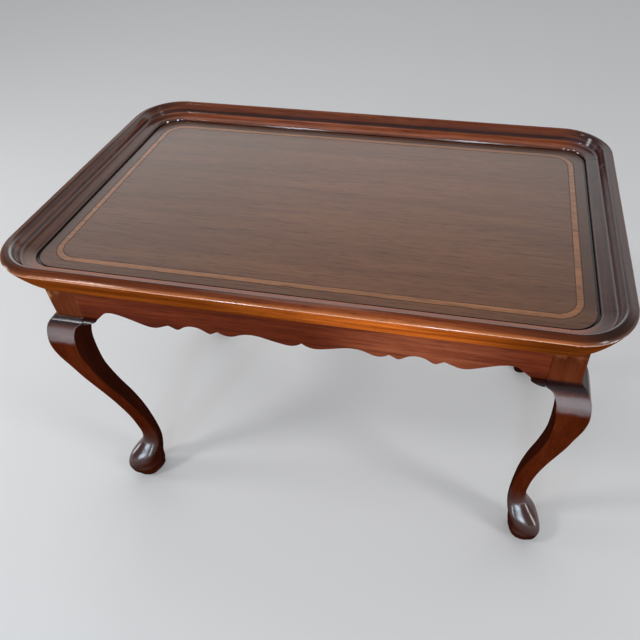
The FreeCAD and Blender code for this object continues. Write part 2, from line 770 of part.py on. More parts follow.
def corner_block(label, base, turn):
    body = new_body(label)
    plan = new_sketch(body, "plan", "XY_Plane", block_low)
    inside = apron_thickness
    end = inside + block_end
    polygon(
        plan,
        [
            (post, inside), (block_reach, inside), (block_reach, end), (end, block_reach),
            (inside, block_reach), (inside, post), (post, post),
        ],
    )
    pad(body, plan, size("block_height"))
    seat = inside + seat_depth
    far = block_reach + overrun - seat
    for name, plane, level in (("x", "XZ_Plane", high_screw_z), ("y", "YZ_Plane", low_screw_z)):
        outward = -1 if plane == "XZ_Plane" else 1
        seat_sketch = new_sketch(body, f"seat_{name}", plane, seat * outward)
        circle(seat_sketch, block_screw, level, head_radius + screw_gap)
        seat_cut = pocket(body, seat_sketch, far)
        seat_cut.Reversed = plane == "YZ_Plane"
        doc.recompute()
        hole = new_sketch(body, f"hole_{name}", plane, (seat + overrun) * outward)
        circle(hole, block_screw, level, screw_radius + screw_gap)
        hole_cut = pocket(body, hole, seat + overrun)
        hole_cut.Reversed = plane == "XZ_Plane"
        doc.recompute()
    place(body, base, turn)
    return body


for name, base, turn in CORNERS:
    corner_block(f"corner_block_{name}", base, turn)


# Cleats that hold the panel down
cleat_height = size("cleat_height")
cleat_low = panel_under - cleat_height
seat_sink = size("seat_depth")


def cleat(label, run, spots, base, turn):
    """A cleat with its outer side on its own X axis and its screws in a row."""
    body = new_body(label)
    plan = new_sketch(body, "plan", "XY_Plane", cleat_low)
    rectangle(plan, -run * 0.5, run * 0.5, ZERO, cleat_width)
    pad(body, plan, cleat_height)
    holes = new_sketch(body, "holes", "XY_Plane", cleat_low - overrun)
    seats = new_sketch(body, "seats", "XY_Plane", cleat_low - overrun)
    for spot in spots:
        circle(holes, spot, cleat_width * 0.5, screw_radius + screw_gap)
        circle(seats, spot, cleat_width * 0.5, head_radius + screw_gap)
    pocket(body, holes, cleat_height + overrun * 2)
    pocket(body, seats, seat_sink + overrun)
    place(body, base, turn)
    return body


cleat("cleat_front", long_cleat, long_spots, (ZERO, -cleat_y, ZERO), 0)
cleat("cleat_back", long_cleat, long_spots, (ZERO, cleat_y, ZERO), 180)
cleat("cleat_left", short_cleat, short_spots, (-cleat_x, ZERO, ZERO), 270)
cleat("cleat_right", short_cleat, short_spots, (cleat_x, ZERO, ZERO), 90)


# Screws
def screw(seat, direction, shank_length):
    """A screw whose head rests on its seat and whose shank runs on from there."""
    axis = FreeCAD.Vector(*direction)
    start = FreeCAD.Vector(*seat)
    head = Part.makeCylinder(
        head_radius.value, head_height.value, start - axis * head_height.value, axis
    )
    shank = Part.makeCylinder(screw_radius.value, shank_length, start, axis)
    return head.fuse(shank).removeSplitter()


def screw_node(label, solids):
    item = doc.addObject("Part::Feature", label)
    item.Label = label
    item.Shape = Part.makeCompound(solids)
    return item


seat_level = cleat_low + seat_sink
cleat_screws = [
    screw(
        (spot_x.value, spot_y.value, seat_level.value),
        (0, 0, 1),
        (panel_under - seat_level + bite).value,
    )
    for spot_x, spot_y in cleat_screw_spots
]
screw_node("cleat_screws", cleat_screws)

block_screws = []
for name, base, turn in CORNERS:
    seat = (apron_thickness + seat_depth).value
    shank_length = (seat_depth + bite).value
    offset = block_screw.value
    pair = [
        screw((offset, seat, high_screw_z.value), (0, -1, 0), shank_length),
        screw((seat, offset, low_screw_z.value), (-1, 0, 0), shank_length),
    ]
    for item in pair:
        item.Placement = FreeCAD.Placement(
            FreeCAD.Vector(base[0].value, base[1].value, 0),
            FreeCAD.Rotation(FreeCAD.Vector(0, 0, 1), turn),
        )
        block_screws.append(item)
screw_node("corner_block_screws", block_screws)


# Check every piece and write it
doc.recompute()
for item in doc.Objects:
    if "Invalid" in item.State or "Error" in item.State:
        raise ValueError(f"{item.Name} did not build: {item.State}")
pieces = [item for item in doc.Objects if item.TypeId in ("PartDesign::Body", "Part::Feature")]
for piece in pieces:
    if piece.Shape.isNull() or not piece.Shape.isValid():
        raise ValueError(f"{piece.Label} has no valid shape")
    piece.Shape.exportStep(f"parts/{piece.Label}.step")
    print(piece.Label, len(piece.Shape.Solids), round(piece.Shape.Volume))
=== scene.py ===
import math

import bmesh
import bpy
import numpy as np
from mathutils import Matrix, Vector


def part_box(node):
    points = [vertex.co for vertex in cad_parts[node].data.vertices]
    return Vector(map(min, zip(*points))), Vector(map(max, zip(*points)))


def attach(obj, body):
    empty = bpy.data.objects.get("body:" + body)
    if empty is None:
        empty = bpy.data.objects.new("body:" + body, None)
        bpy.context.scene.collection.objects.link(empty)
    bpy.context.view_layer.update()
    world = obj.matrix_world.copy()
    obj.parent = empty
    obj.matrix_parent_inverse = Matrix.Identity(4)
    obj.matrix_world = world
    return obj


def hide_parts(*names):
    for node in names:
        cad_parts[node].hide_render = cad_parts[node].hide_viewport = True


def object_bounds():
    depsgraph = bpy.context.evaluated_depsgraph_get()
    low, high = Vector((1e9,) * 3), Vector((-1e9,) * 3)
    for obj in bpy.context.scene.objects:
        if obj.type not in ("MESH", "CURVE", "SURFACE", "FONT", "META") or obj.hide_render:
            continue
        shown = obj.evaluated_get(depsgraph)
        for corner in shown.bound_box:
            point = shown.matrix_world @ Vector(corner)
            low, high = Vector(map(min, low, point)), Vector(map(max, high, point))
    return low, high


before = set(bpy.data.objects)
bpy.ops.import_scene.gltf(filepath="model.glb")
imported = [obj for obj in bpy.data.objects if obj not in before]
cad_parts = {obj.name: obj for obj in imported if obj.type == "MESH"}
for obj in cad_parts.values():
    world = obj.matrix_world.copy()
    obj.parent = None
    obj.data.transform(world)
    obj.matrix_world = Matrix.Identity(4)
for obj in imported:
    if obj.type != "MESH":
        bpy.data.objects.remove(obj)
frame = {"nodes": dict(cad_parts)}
cad_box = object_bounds()
nodes = frame["nodes"]
collection = bpy.context.scene.collection

# Camera of the photograph: lengths in metres, the focal length and the middle in its pixels
PHOTO_SIZE = 640
FOCAL_LENGTH = 616.27
PHOTO_MIDDLE = (375.99, 297.39)
SENSOR_WIDTH = 36.0
CAMERA_PLACE = (0.2026, -0.6941, 0.9508)
CAMERA_RIGHT = Vector((0.9813, 0.1914, -0.0180))
CAMERA_UP = Vector((-0.1159, 0.6638, 0.7388))
CAMERA_FORWARD = Vector((-0.1534, 0.7230, -0.6736))

camera_data = bpy.data.cameras.new("camera")
camera_data.sensor_width = SENSOR_WIDTH
camera_data.lens = SENSOR_WIDTH * FOCAL_LENGTH / PHOTO_SIZE
camera_data.shift_x = (PHOTO_SIZE / 2 - PHOTO_MIDDLE[0]) / PHOTO_SIZE
camera_data.shift_y = (PHOTO_MIDDLE[1] - PHOTO_SIZE / 2) / PHOTO_SIZE
camera = bpy.data.objects.new("camera", camera_data)
collection.objects.link(camera)
turn = Matrix((CAMERA_RIGHT, CAMERA_UP, -CAMERA_FORWARD)).transposed()
camera.matrix_world = Matrix.Translation(CAMERA_PLACE) @ turn.to_4x4()
bpy.context.scene.camera = camera


class Tree:
    """Short names for building a node tree."""

    def __init__(self, node_tree):
        self.nodes = node_tree.nodes
        self.links = node_tree.links

    def node(self, kind, inputs=None, **settings):
        made = self.nodes.new("ShaderNode" + kind)
        for key, value in settings.items():
            setattr(made, key, value)
        for key, value in (inputs or {}).items():
            if isinstance(value, bpy.types.NodeSocket):
                self.links.new(value, made.inputs[key])
            else:
                made.inputs[key].default_value = value
        return made

    def math(self, operation, first, second=0.0, third=0.0):
        made = self.node("Math", {0: first, 1: second, 2: third}, operation=operation)
        return made.outputs[0]

    def times(self, first, *others):
        """Product of several values."""
        for other in others:
            first = self.math("MULTIPLY", first, other)
        return first

    def inverse(self, value):
        """One less the value."""
        return self.math("SUBTRACT", 1.0, value)

    def scaled(self, value, scale, offset):
        """The value times the scale, plus the offset."""
        return self.math("MULTIPLY_ADD", value, scale, offset)

    def soft_step(self, value, low, high):
        """Nought up to the low value, one from the high one, smooth between them."""
        made = self.node(
            "MapRange",
            {"Value": value, "From Min": low, "From Max": high},
            interpolation_type="SMOOTHSTEP",
        )
        return made.outputs[0]

    def vector_math(self, operation, first, second=(0, 0, 0)):
        made = self.node("VectorMath", {0: first, 1: second}, operation=operation)
        return made.outputs["Vector"]

    def split(self, vector):
        return self.node("SeparateXYZ", {0: vector}).outputs

    def join(self, x, y, z):
        return self.node("CombineXYZ", {0: x, 1: y, 2: z}).outputs[0]

    def place(self):
        """Place in the table, in metres from the middle of its footprint."""
        return self.node("TexCoord").outputs["Object"]

    def normal(self, kind="Normal"):
        return self.node("NewGeometry").outputs[kind]

    def noise(self, vector, scale, detail=2.0, roughness=0.5, distortion=0.0):
        made = self.node(
            "TexNoise",
            {
                "Vector": vector,
                "Scale": scale,
                "Detail": detail,
                "Roughness": roughness,
                "Distortion": distortion,
            },
        )
        return made.outputs["Fac"]

    def bump(self, height, strength, distance, normal=None):
        inputs = {"Height": height, "Strength": strength, "Distance": distance}
        if normal is not None:
            inputs["Normal"] = normal
        return self.node("Bump", inputs).outputs[0]

    def ramp(self, factor, stops):
        made = self.node("ValToRGB", {0: factor})
        elements = made.color_ramp.elements
        while len(elements) < len(stops):
            elements.new(0.5)
        for element, (place, colour) in zip(elements, stops):
            element.position = place
            element.color = (*colour, 1)
        return made.outputs[0]

    def mix(self, factor, first, second, blend="MIX"):
        sockets = bpy.types.NodeSocket
        ends = [end if isinstance(end, sockets) else (*end, 1) for end in (first, second)]
        made = self.node("MixRGB", {0: factor, 1: ends[0], 2: ends[1]}, blend_type=blend)
        return made.outputs[0]

    def tinted(self, colour, tint, where=1.0):
        """Colour multiplied by a tint where the factor is one."""
        return self.mix(where, colour, tint, "MULTIPLY")

    def surface(self, kind, inputs):
        shader = self.node(kind, inputs)
        output = self.node("OutputMaterial")
        self.links.new(shader.outputs[0], output.inputs[0])


def new_material(name):
    """An empty material and its tree."""
    material = bpy.data.materials.new(name)
    material.use_nodes = True
    tree = Tree(material.node_tree)
    tree.nodes.clear()
    return material, tree


# Places in the table, as the CAD has them
outside_low, outside_high = cad_box
corner_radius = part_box("rim_front")[0][0] - outside_low[0]
rim_top = outside_high[2]
post_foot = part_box("knee_block_front_left_x")[1][2]

# Grain
GRAIN_SQUEEZE = 0.06
GRAIN_SHIFT = (0.37, 0.71, 0.53)
BAND_SCALE, STREAK_SCALE, FLECK_SCALE, PORE_SCALE = 45.0, 210.0, 420.0, 950.0
BAND_SHARE, STREAK_SHARE = 0.55, 0.45
TONE_PLACES = (0.36, 0.5, 0.64)
FLECK_TONES = [(0.32, (0.55, 0.5, 0.5)), (0.42, (1, 1, 1))]
PORE_TONES = [(0.34, (0.5, 0.45, 0.45)), (0.43, (1, 1, 1))]
PORE_DEPTH = 0.0003

# Wear, painted shade and grime: radius of the arrises, and reach and tint of the painted shade
# and grime in the joints
ARRIS, LEG_ARRIS = 0.0012, 0.002
WEAR_BEND, WEAR_BREAK = (0.02, 0.16), (0.45, 0.62)
OPEN = (0.15, 0.85)
WOOD_GRIME_AND_SHADE_REACH, TRAY_GRIME_AND_SHADE_REACH = 0.006, 0.005
WOOD_GRIME_AND_SHADE, RIM_GRIME_AND_SHADE = (0.16, 0.13, 0.13), (0.1, 0.08, 0.09)


def board_grain(tree, axis, seed):
    """Place in a straight board, squeezed along the grain and moved for each board."""
    scale = [1.0, 1.0, 1.0]
    scale["XYZ".index(axis)] = GRAIN_SQUEEZE
    inputs = {
        "Vector": tree.place(),
        "Location": [seed * share for share in GRAIN_SHIFT],
        "Scale": scale,
    }
    return tree.node("Mapping", inputs).outputs[0]


def figure(tree, grain, dark, mid, light, band_scale=BAND_SCALE, pores=0.7):
    """Colour of lacquered wood with its bands, streaks and pores, and the last two alone."""
    band = tree.noise(grain, band_scale, 3.0, 0.5, 0.4)
    streak = tree.noise(grain, STREAK_SCALE, 4.0, 0.6)
    pore = tree.noise(grain, PORE_SCALE, 2.0)
    fleck = tree.noise(grain, FLECK_SCALE, 2.0, 0.5)
    tone = tree.math("ADD", tree.times(band, BAND_SHARE), tree.times(streak, STREAK_SHARE))
    colour = tree.ramp(tone, list(zip(TONE_PLACES, (dark, mid, light))))
    colour = tree.tinted(colour, tree.ramp(fleck, FLECK_TONES), pores)
    return tree.tinted(colour, tree.ramp(pore, PORE_TONES), pores), pore, streak


def worn_edge(tree, radius):
    """One where an arris is rubbed, broken up along its length; and the rounded normal."""
    rounded = tree.node("Bevel", {"Radius": radius}, samples=4).outputs[0]
    turned = tree.node(
        "VectorMath", {0: rounded, 1: tree.normal("True Normal")}, operation="DOT_PRODUCT"
    )
    bend = tree.inverse(turned.outputs["Value"])
    broken = tree.noise(tree.place(), 55.0, 4.0, 0.65)
    rubbed = tree.times(tree.soft_step(bend, *WEAR_BEND), tree.soft_step(broken, *WEAR_BREAK))
    return rubbed, rounded


def crevice(tree, distance):
    """One in the open, falling toward nought in joints and corners."""
    hidden = tree.node("AmbientOcclusion", {"Distance": distance}, samples=6)
    return tree.soft_step(hidden.outputs["AO"], *OPEN)


def upward(tree):
    """One on faces that look up, nought on upright ones, minus one on those that look down."""
    return tree.split(tree.normal())[2]


def outer_face(tree, place):
    """One on faces that look away from the middle of the table, less on inner ones."""
    turned = tree.vector_math("MULTIPLY", tree.normal(), tree.vector_math("SIGN", place))
    across, along, _ = tree.split(turned)
    return tree.soft_step(tree.math("MAXIMUM", across, along), 0.05, 0.4)


def painted_light_along(tree, place, left, lit_tone, end, rise, fall):
    """Painted light along the table: a shaded left tone, a pool of painted light, and a shaded
    end tone.
    """
    across = tree.split(place)[0]
    tint = tree.mix(tree.soft_step(across, *rise), left, lit_tone)
    return tree.mix(tree.soft_step(across, *fall), tint, end)


# Front apron: painted light along the table, as a shaded left tone, a pool of painted light
# and a shaded end tone, and where along the table the second and third start
APRON_PAINTED_LIGHT = (0.66, 0.52, 0.42), (1.4, 1.75, 2.6), (0.62, 0.5, 0.5)
APRON_LIT_SPAN = (0.0, 0.13), (0.15, 0.28)

# Legs: tints, drops below the foot of the post, levels above the floor from where each change
# starts to where it is full, and the colours of the painted shade on the knee's shelf and on
# the inner faces
POST_TINT_LEFT, POST_TINT_RIGHT = (1.38, 1.9, 2.6), (1.05, 1.25, 1.6)
SHANK_TINT, FOOT_TINT = (0.72, 0.64, 0.6), (0.5, 0.52, 0.8)
POST_BLUR = 0.001
SHELF_SHADE_DROP = (0.009, 0.004)
FOOT_TINTED = (0.1, 0.06)
FOOT_POLISHED = (0.12, 0.09)
KNEE_POLISHED = (0.31, 0.335)
SHELF_SHADE, INNER_SHADE = (0.006, 0.006, 0.009), (0.012, 0.004, 0.003)
MIDDLE_LINE = (-0.05, 0.05)


def leg_finish(tree, place, colour, sloped):
    """A leg's colour and polish: paler post, painted shade on the knee's shelf, painted shade
    and less polish on the inner faces.
    """
    across, _, level = tree.split(place)
    outer = outer_face(tree, place)
    leg = tree.soft_step(level, post_foot + POST_BLUR, post_foot - POST_BLUR)
    near_post = tree.soft_step(level, *(post_foot - drop for drop in SHELF_SHADE_DROP))
    shelf = tree.times(near_post, leg)
    post_tint = tree.mix(tree.soft_step(across, *MIDDLE_LINE), POST_TINT_LEFT, POST_TINT_RIGHT)
    leg_tint = tree.mix(tree.soft_step(level, *FOOT_TINTED), SHANK_TINT, FOOT_TINT)
    colour = tree.tinted(colour, tree.mix(leg, post_tint, leg_tint))
    # painted shade on the knee's shelf, just below the foot of the post
    colour = tree.mix(tree.times(shelf, 0.75), colour, SHELF_SHADE)
    # painted shade on the leg's inner faces
    colour = tree.mix(tree.times(tree.inverse(outer), leg, 0.65), colour, INNER_SHADE)
    on_foot = tree.times(
        tree.soft_step(level, *FOOT_POLISHED), tree.soft_step(upward(tree), -0.15, 0.6)
    )
    on_knee = tree.times(tree.soft_step(level, *KNEE_POLISHED), sloped)
    polish = tree.times(tree.math("ADD", on_foot, on_knee), outer, leg)
    return colour, tree.times(polish, tree.scaled(shelf, -0.4, 1.0))


def wood(
    name, axis, seed, palette, rough, specular, wear_colour,
    coat=0.0, arris=ARRIS, pores=0.7, is_leg=False, is_front=False,
):
    """Lacquered wood with rubbed arrises, painted shade and grime in its joints, and polish on
    top; painted light along the front apron; painted shade on the legs' knee shelves and inner
    faces.
    """
    material, tree = new_material(name)
    place = tree.place()
    colour, pore, streak = figure(tree, board_grain(tree, axis, seed), *palette, pores=pores)
    if is_front:
        # painted light along the front apron: a pool of light with shaded ends
        colour = tree.tinted(colour, painted_light_along(tree, place, *APRON_PAINTED_LIGHT, *APRON_LIT_SPAN))
    rubbed, rounded = worn_edge(tree, arris)
    colour = tree.mix(tree.times(rubbed, 0.55), colour, wear_colour)
    # painted shade and grime: darker where ambient occlusion finds joints and corners
    grime_and_shade = tree.inverse(crevice(tree, WOOD_GRIME_AND_SHADE_REACH))
    colour = tree.tinted(colour, WOOD_GRIME_AND_SHADE, grime_and_shade)
    smudge = tree.noise(place, 9.0, 3.0, 0.6)
    roughness = tree.scaled(streak, 0.12, tree.scaled(smudge, 0.12, rough - 0.12))
    polish = tree.soft_step(upward(tree), 0.02, 0.2)
    if is_leg:
        colour, polish = leg_finish(tree, place, colour, polish)
    tree.surface(
        "BsdfPrincipled",
        {
            "Base Color": colour,
            "Roughness": roughness,
            "Normal": tree.bump(pore, 0.1, PORE_DEPTH, rounded),
            "Coat Weight": tree.times(polish, coat),
            "Coat IOR": 1.8,
            "Coat Roughness": 0.22,
            "Coat Normal": rounded,
            "Specular IOR Level": specular,
        },
    )
    return material


# Tray rim: colours by share of its moulded width, from the outer edge to the groove, with
# painted shade on the step (0.45 to 0.48) and beside the groove (from 0.94), and the radius
# that sets how long its grain is round the tray
RIM_WIDTH = 0.04
TRAY_RADIUS = 0.4
RIM_ZONES = [
    (0.0, (0.44, 0.14, 0.046)),
    (0.09, (0.24, 0.055, 0.015)),
    (0.28, (0.15, 0.032, 0.009)),
    (0.345, (0.17, 0.045, 0.017)),
    (0.425, (0.14, 0.035, 0.013)),
    (0.45, (0.04, 0.011, 0.007)),
    (0.48, (0.04, 0.011, 0.007)),
    (0.515, (0.19, 0.046, 0.015)),
    (0.88, (0.21, 0.05, 0.016)),
    (0.94, (0.05, 0.012, 0.005)),
    (1.0, (0.012, 0.005, 0.004)),
]
RIM_FIGURE = (0.7, 0.64, 0.6), (0.95, 0.93, 0.92), (1.25, 1.3, 1.35)
UNDER_SLOPE = [(0.35, (0.17, 0.034, 0.004)), (0.62, (0.28, 0.062, 0.008))]
WORN_NOSE = (0.5, 0.2, 0.07)

# Painted light and shade on the rim: painted shade and reflection on the right side, painted
# shade on the left, painted light on the back's slope and the front, painted sheen on the
# back's shelf and the front's lip, the lift of the painted step shade on the short sides, and
# the tones and span of the painted light along the front's slope and under-slope
RIGHT_SHADE_AND_REFLECTION, LEFT_SHADE = (0.3, 0.53, 1.35), (0.48, 0.62, 0.9)
SHORT_STEP_SHADE_LIFT = (3.2, 3.4, 3.2)
BACK_SLOPE_LIGHT, BACK_SHELF_SHEEN = (1.2, 1.1, 1.05), (1.75, 1.9, 2.3)
FRONT_LIGHT, FRONT_LIP_SHEEN = (1.25, 1.25, 1.15), (0.7, 1.3, 2.2)
SLOPE_PAINTED_LIGHT = (0.65,) * 3, (1.12,) * 3, (0.55,) * 3
UNDER_PAINTED_LIGHT = (0.66,) * 3, (1.7,) * 3, (0.42,) * 3
RIM_LIT_SPAN = (-0.1, 0.13), (0.15, 0.3)

# Where each part of the rim starts to show or is full: sides by place in the table, top and
# bottom of the nose by drop from the rim's top, the rest by inset from the outer edge
RIGHT_SIDE, LEFT_SIDE = (0.305, 0.35), (-0.305, -0.35)
BACK_SIDE, FRONT_SIDE = (0.17, 0.2), (-0.17, -0.2)
NOSE_END, NOSE_PAST = (0.0022, 0.001), (0.0015, 0.0035)
SLOPE_END, LIP_END = (0.013, 0.0105), (0.0185, 0.017)
STEP_START, STEP_END = (0.0155, 0.0175), (0.0215, 0.0195)
SHELF_START, LEFT_SHELF_START = (0.018, 0.021), (0.017, 0.02)
NOSE_BOTTOM, NOSE_TOP = (0.0085, 0.007), (0.0035, 0.005)
TOP_POLISH_LOSS, SLOPE_POLISH_LOSS, BACK_POLISH_LOSS = 0.58, 0.2, 0.62


def inset_from_edge(tree, place):
    """Distance inward from the outer edge of the tray rim, corners included."""
    across, along, _ = tree.split(place)
    sides = []
    for value, half in ((across, outside_high[0]), (along, outside_high[1])):
        sides.append(tree.math("SUBTRACT", tree.math("ABSOLUTE", value), half - corner_radius))
    outer = [tree.math("MAXIMUM", side, 0.0) for side in sides]
    corner = tree.node("VectorMath", {0: tree.join(*outer, 0.0)}, operation="LENGTH")
    inner = tree.math("MINIMUM", tree.math("MAXIMUM", *sides), 0.0)
    reach = tree.math("ADD", corner.outputs["Value"], inner)
    return tree.math("SUBTRACT", corner_radius, reach)


def rim_wood(name):
    """The moulded rim: orange under-slope, red-brown edge, and painted light, shade and sheen
    that differ by side.
    """
    material, tree = new_material(name)
    place = tree.place()
    across, along, level = tree.split(place)
    inset = inset_from_edge(tree, place)
    angle = tree.math("ARCTAN2", along, across)
    round_tray = tree.times(angle, TRAY_RADIUS * GRAIN_SQUEEZE)
    grain = tree.join(inset, level, round_tray)
    figured, pore, streak = figure(tree, grain, *RIM_FIGURE, band_scale=90.0, pores=0.5)

    # Parts of the rim
    right = tree.soft_step(across, *RIGHT_SIDE)
    left = tree.soft_step(across, *LEFT_SIDE)
    back = tree.soft_step(along, *BACK_SIDE)
    front = tree.soft_step(along, *FRONT_SIDE)
    slope = tree.soft_step(inset, *SLOPE_END)
    lip = tree.times(tree.inverse(slope), tree.soft_step(inset, *LIP_END))
    short_step = tree.times(
        tree.soft_step(inset, *STEP_START),
        tree.soft_step(inset, *STEP_END),
        tree.math("MAXIMUM", left, right),
    )
    shelf = tree.soft_step(inset, *SHELF_START)
    facing = upward(tree)
    under = tree.soft_step(facing, 0.1, -0.25)

    # Colour
    # painted shade in the zones: the step and the groove are dark
    zones = tree.ramp(tree.times(inset, 1 / RIM_WIDTH), RIM_ZONES)
    # painted shade and reflection on the right side, painted shade on the left
    zones = tree.tinted(zones, RIGHT_SHADE_AND_REFLECTION, right)
    zones = tree.tinted(zones, LEFT_SHADE, left)
    # lift of the painted step shade on the short sides
    zones = tree.tinted(zones, SHORT_STEP_SHADE_LIFT, short_step)
    # painted light on the back's slope, painted sheen on its shelf
    zones = tree.tinted(zones, tree.mix(shelf, BACK_SLOPE_LIGHT, BACK_SHELF_SHEEN), back)
    # painted light on the front
    zones = tree.tinted(zones, FRONT_LIGHT, front)
    front_slope = tree.times(slope, tree.soft_step(inset, *NOSE_PAST), front)
    # painted light along the front's slope
    slope_light = painted_light_along(tree, place, *SLOPE_PAINTED_LIGHT, *RIM_LIT_SPAN)
    zones = tree.tinted(zones, slope_light, front_slope)
    # painted sheen on the front's lip
    zones = tree.tinted(zones, FRONT_LIP_SHEEN, tree.times(lip, front))
    under_colour = tree.ramp(tree.noise(grain, 60.0, 3.0, 0.6), UNDER_SLOPE)
    # painted light along the front's under-slope
    under_light = painted_light_along(tree, place, *UNDER_PAINTED_LIGHT, *RIM_LIT_SPAN)
    zones = tree.mix(under, zones, tree.tinted(under_colour, under_light, front))
    colour = tree.tinted(zones, figured)

    # Wear on the nose and the arrises; painted shade and grime in the corners
    rubbed, rounded = worn_edge(tree, ARRIS)
    nose = tree.times(
        tree.soft_step(level, *(rim_top - drop for drop in NOSE_BOTTOM)),
        tree.soft_step(level, *(rim_top - drop for drop in NOSE_TOP)),
        tree.soft_step(inset, *NOSE_END),
    )
    nibble = tree.soft_step(tree.noise(place, 160.0, 3.0, 0.6), 0.6, 0.68)
    rubbed = tree.math("MAXIMUM", tree.times(rubbed, 0.35), tree.times(nose, nibble))
    colour = tree.mix(tree.times(rubbed, 0.6), colour, WORN_NOSE)
    # painted shade and grime in the rim's corners, less on the short steps
    unshaded_or_step = tree.math("MAXIMUM", crevice(tree, TRAY_GRIME_AND_SHADE_REACH), tree.times(short_step, 0.75))
    colour = tree.tinted(colour, RIM_GRIME_AND_SHADE, tree.inverse(unshaded_or_step))

    # Polish: full on the nose and the front lip, less on what looks up
    change = tree.scaled(lip, -TOP_POLISH_LOSS, tree.times(slope, SLOPE_POLISH_LOSS))
    loss = tree.scaled(front, change, TOP_POLISH_LOSS)
    polish = tree.inverse(tree.times(tree.soft_step(facing, 0.3, 0.7), loss))
    left_polish = tree.scaled(tree.soft_step(along, 0.0, 0.15), 0.4, 0.5)
    left_polish = tree.scaled(tree.soft_step(along, -0.15, -0.19), 0.75, left_polish)
    left_shelf = tree.soft_step(inset, *LEFT_SHELF_START)
    left_polish = tree.math("MAXIMUM", left_polish, left_shelf)
    left_loss = tree.times(left, tree.inverse(left_polish))
    back_slope = tree.times(back, tree.inverse(shelf))
    polish = tree.times(
        polish,
        tree.inverse(left_loss),
        tree.scaled(back_slope, -BACK_POLISH_LOSS, 1.0),
        tree.soft_step(facing, -0.3, -0.05),
    )

    waves = tree.noise(tree.vector_math("MULTIPLY", place, (1, 1, 2)), 70.0, 3.0, 0.6)
    soft = tree.bump(waves, 0.25, 0.0006, rounded)
    tree.surface(
        "BsdfPrincipled",
        {
            "Base Color": colour,
            "Roughness": tree.scaled(streak, 0.16, 0.2),
            "Normal": tree.bump(pore, 0.08, PORE_DEPTH, soft),
            "Coat Weight": polish,
            "Coat IOR": 1.95,
            "Coat Roughness": 0.12,
            "Coat Normal": soft,
            "Specular IOR Level": 0.0,
        },
    )
    return material


# Tray panel: tones, painted light along the table, and painted reflection and shade at its
# border and in its corners
PANEL = (0.124, 0.043, 0.0165), (0.162, 0.06, 0.024), (0.198, 0.076, 0.0305)
PANEL_PAINTED_LIGHT = (0.9, 0.96, 0.97), (1.06, 1.07, 1.05), (0.84, 0.88, 0.9)
PANEL_LIT_SPAN = (-0.2, 0.0), (0.1, 0.36)
PANEL_BORDER_SHADE, PANEL_CORNER_SHADE = (0.06, 0.022, 0.012), (0.012, 0.006, 0.005)
BORDER_EDGE = (0.058, 0.053)
BORDER_FRONT = (-0.15, -0.175)
BORDER_SHADE_DEPTH, FRONT_BORDER_SHADE_DEPTH = 0.7, 0.08


def panel_wood(name):
    """The tray panel: fine straight grain under a satin lacquer, dulled by use, with painted
    light along it and painted shade at its border and corners.
    """
    material, tree = new_material(name)
    place = tree.place()
    colour, pore, streak = figure(tree, board_grain(tree, "X", 3), *PANEL, band_scale=38.0)
    # painted light along the panel
    colour = tree.tinted(colour, painted_light_along(tree, place, *PANEL_PAINTED_LIGHT, *PANEL_LIT_SPAN))
    # painted reflection of the rim and painted shade in a dark band at the border, slight at
    # the front
    border = tree.soft_step(inset_from_edge(tree, place), *BORDER_EDGE)
    front = tree.soft_step(tree.split(place)[1], *BORDER_FRONT)
    border_shade_depth = tree.scaled(front, FRONT_BORDER_SHADE_DEPTH - BORDER_SHADE_DEPTH, BORDER_SHADE_DEPTH)
    colour = tree.mix(tree.times(border, border_shade_depth), colour, PANEL_BORDER_SHADE)
    # painted shade and grime in the panel's corners beside the rim
    colour = tree.mix(crevice(tree, TRAY_GRIME_AND_SHADE_REACH), PANEL_CORNER_SHADE, colour)
    smudge = tree.noise(place, 7.0, 4.0, 0.6)
    tree.surface(
        "BsdfPrincipled",
        {
            "Base Color": colour,
            "Roughness": tree.scaled(streak, 0.1, tree.scaled(smudge, 0.1, 0.12)),
            "Normal": tree.bump(pore, 0.06, PORE_DEPTH),
            "Specular IOR Level": 0.42,
        },
    )
    return material


# Smooth feet: the leg's own outlines, eased round and up the foot
EASED_BELOW = 0.086
LEG_CUT = 0.118
BLEND_MARGIN = 0.004
RING_STEP = 0.0016
PAD_MARGIN = 0.0003
FLOOR_MARGIN = 0.0002
WELD = 0.000002
EASED_ROUND, EASED_UP = 4.2, 2.2
SHARP_ANGLE = math.radians(28)
DIRECTIONS = np.linspace(-math.pi, math.pi, 96, endpoint=False)


def outline_at(points, edges, level):
    """Middle of the leg's outline at one level, and its reach in every direction."""
    first, second = points[edges[:, 0]], points[edges[:, 1]]
    crossing = (first[:, 2] - level) * (second[:, 2] - level) < 0
    first, second = first[crossing], second[crossing]
    share = ((level - first[:, 2]) / (second[:, 2] - first[:, 2]))[:, None]
    flat = (first + (second - first) * share)[:, :2]
    middle = (flat.min(axis=0) + flat.max(axis=0)) / 2
    across, along = (flat - middle).T
    angle = np.arctan2(along, across)
    order = np.argsort(angle)
    reach = np.hypot(across, along)
    return middle, np.interp(DIRECTIONS, angle[order], reach[order], period=2 * math.pi)


def eased_rows(rows, spread, wrap):
    """Each row of a table averaged with its neighbours, by a bell curve."""
    size = int(spread * 3)
    bell = np.exp(-0.5 * (np.arange(-size, size + 1) / spread) ** 2)
    bell /= bell.sum()
    padded = np.pad(rows, ((size, size), (0, 0)), mode="wrap" if wrap else "edge")
    return sum(share * padded[step:step + len(rows)] for step, share in enumerate(bell))


